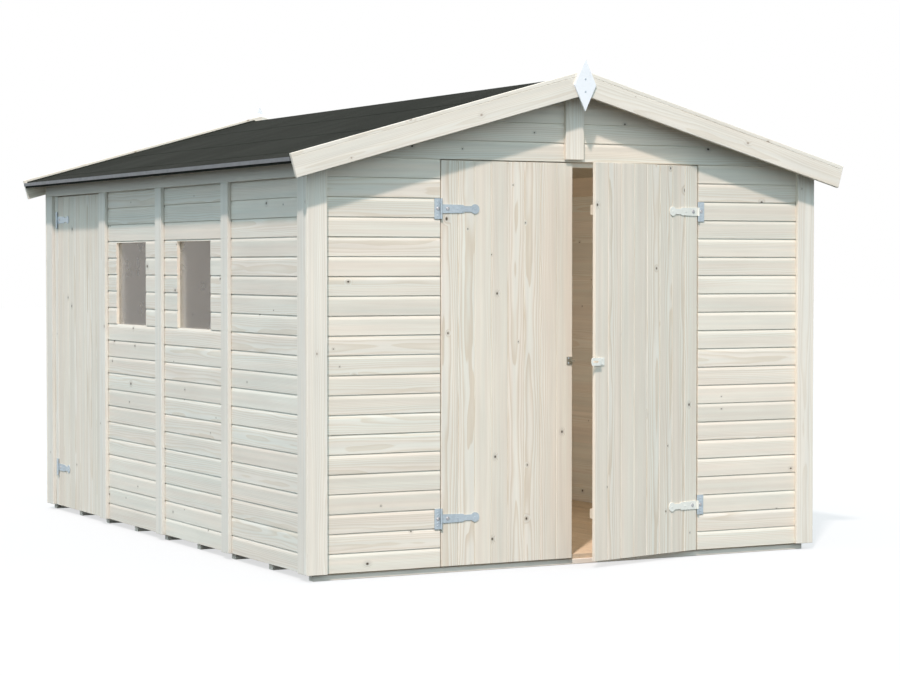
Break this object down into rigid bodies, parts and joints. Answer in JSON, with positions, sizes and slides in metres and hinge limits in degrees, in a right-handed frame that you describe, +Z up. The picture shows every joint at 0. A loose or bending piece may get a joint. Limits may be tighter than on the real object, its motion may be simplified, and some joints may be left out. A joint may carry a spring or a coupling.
{
  "type": "timber garden shed",
  "caption": "Gable-roofed timber garden shed with boarded panel walls, side windows, felt roof, hinged double front doors and a hinged side door.",
  "frame": {"origin": "middle of the footprint on the ground, on the underside of the middle floor joist", "axes": "+Z up, front with the double doors faces -Y, +X to the right seen from the front"},
  "size_m": [2.854, 3.7741, 2.2712],
  "materials": {
    "wall_wood": "planed untreated spruce",
    "frame_wood": "sawn untreated spruce",
    "floor_wood": "planed floor boards",
    "joist_wood": "sawn tan timber",
    "roofing_felt": "mineral-surfaced bitumen felt",
    "eave_metal": "matt folded strip",
    "white_paint": "white painted wood",
    "zinc_steel": "galvanised",
    "window_glass": "clear pane"
  },
  "bodies": {
    "shed": {"floor_joists": "joist_wood", "floor_deck": "floor_wood", "front_wall_panels": "wall_wood", "front_gable_panel": "wall_wood", "rear_wall_panel": "wall_wood", "rear_gable_panel": "wall_wood", "left_wall_front_panel": "wall_wood", "left_wall_middle_panel": "wall_wood", "left_wall_rear_panel": "wall_wood", "side_door_jamb_board": "wall_wood", "right_wall_panels": "wall_wood", "end_corner_boards": "wall_wood", "side_corner_boards": "wall_wood", "side_wall_battens": "wall_wood", "front_gable_batten": "wall_wood", "rear_wall_batten": "wall_wood", "eave_boards": "wall_wood", "wall_studs": "frame_wood", "wall_top_plates": "frame_wood", "gable_rails": "frame_wood", "front_door_stops": "frame_wood", "side_door_stops": "frame_wood", "window_frames": "frame_wood", "window_panes": "window_glass", "roof_purlins": "frame_wood", "roof_deck": "frame_wood", "roofing_felt_left": "roofing_felt", "roofing_felt_right": "roofing_felt", "eave_strips": "eave_metal", "front_barge_boards": "wall_wood", "rear_barge_boards": "wall_wood", "gable_finials": "white_paint", "front_door_hinge_plates": "zinc_steel", "side_door_hinge_plates": "zinc_steel"},
    "left_front_door": {"left_door_leaf": "wall_wood", "left_door_ledges": "frame_wood", "left_door_hinge_straps": "zinc_steel", "left_door_staple": "zinc_steel"},
    "right_front_door": {"right_door_leaf": "wall_wood", "right_door_ledges": "frame_wood", "right_door_hinge_straps": "zinc_steel", "right_door_hasp": "zinc_steel"},
    "side_door": {"side_door_leaf": "wall_wood", "side_door_ledges": "frame_wood", "side_door_hinge_straps": "zinc_steel"}
  },
  "joints": [
    {"name": "left_front_door_hinge", "type": "hinge", "parent": "shed", "child": "left_front_door", "pos_m": [-0.6705, -1.7578, 0], "axis": [0, 0, -1], "range_deg": [0, 150]},
    {"name": "right_front_door_hinge", "type": "hinge", "parent": "shed", "child": "right_front_door", "pos_m": [0.6705, -1.7578, 0], "axis": [0, 0, 1], "range_deg": [-13.7, 136.3]},
    {"name": "side_door_hinge", "type": "hinge", "parent": "shed", "child": "side_door", "pos_m": [-1.3048, 1.6095, 0], "axis": [0, 0, -1], "range_deg": [0, 145]}
  ]
}
